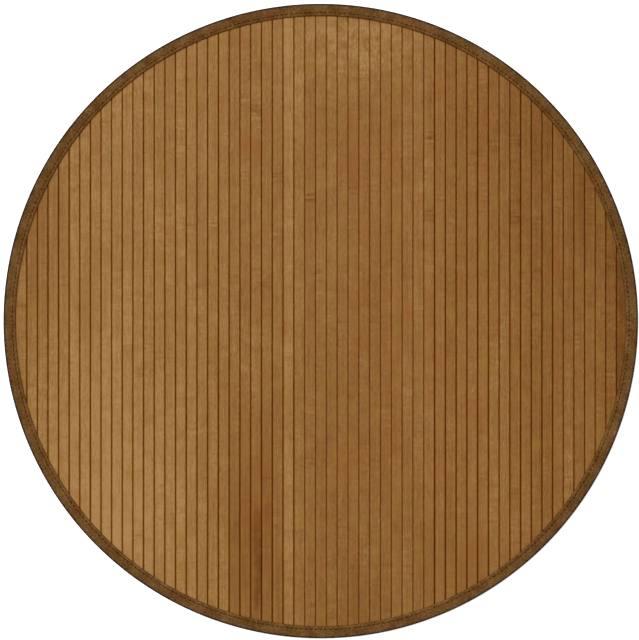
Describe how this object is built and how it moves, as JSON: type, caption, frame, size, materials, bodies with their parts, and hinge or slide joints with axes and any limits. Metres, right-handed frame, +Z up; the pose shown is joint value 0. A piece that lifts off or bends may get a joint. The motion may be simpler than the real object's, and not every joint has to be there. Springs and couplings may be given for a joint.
{
  "type": "round bamboo rug",
  "caption": "Flat round floor rug of side-by-side bamboo slats on a ground cloth, its rim bound with a stitched woven tape.",
  "frame": {"origin": "middle of the rug at floor level, under the binding's flat underside", "axes": "+Z up out of the rug's upper face; +Y along the slats, towards the top of the picture; +X across the slats, to its right"},
  "size_m": [1, 1, 0.0082],
  "materials": {
    "bamboo": "split bamboo stained a warm brown, satin, with fine grain along each slat",
    "backing_cloth": "matt dark brown ground cloth, plain weave",
    "binding_tape": "matt brown woven cotton tape",
    "sewing_thread": "dark brown twisted sewing thread"
  },
  "bodies": {
    "root": {"slat_01": "bamboo", "slat_02": "bamboo", "slat_03": "bamboo", "slat_04": "bamboo", "slat_05": "bamboo", "slat_06": "bamboo", "slat_07": "bamboo", "slat_08": "bamboo", "slat_09": "bamboo", "slat_10": "bamboo", "slat_11": "bamboo", "slat_12": "bamboo", "slat_13": "bamboo", "slat_14": "bamboo", "slat_15": "bamboo", "slat_16": "bamboo", "slat_17": "bamboo", "slat_18": "bamboo", "slat_19": "bamboo", "slat_20": "bamboo", "slat_21": "bamboo", "slat_22": "bamboo", "slat_23": "bamboo", "slat_24": "bamboo", "slat_25": "bamboo", "slat_26": "bamboo", "slat_27": "bamboo", "slat_28": "bamboo", "slat_29": "bamboo", "slat_30": "bamboo", "slat_31": "bamboo", "slat_32": "bamboo", "slat_33": "bamboo", "slat_34": "bamboo", "slat_35": "bamboo", "slat_36": "bamboo", "slat_37": "bamboo", "slat_38": "bamboo", "slat_39": "bamboo", "slat_40": "bamboo", "slat_41": "bamboo", "slat_42": "bamboo", "slat_43": "bamboo", "slat_44": "bamboo", "slat_45": "bamboo", "slat_46": "bamboo", "slat_47": "bamboo", "slat_48": "bamboo", "slat_49": "bamboo", "slat_50": "bamboo", "slat_51": "bamboo", "slat_52": "bamboo", "slat_53": "bamboo", "slat_54": "bamboo", "slat_55": "bamboo", "slat_56": "bamboo", "slat_57": "bamboo", "backing": "backing_cloth", "binding": "binding_tape"}
  },
  "joints": []
}
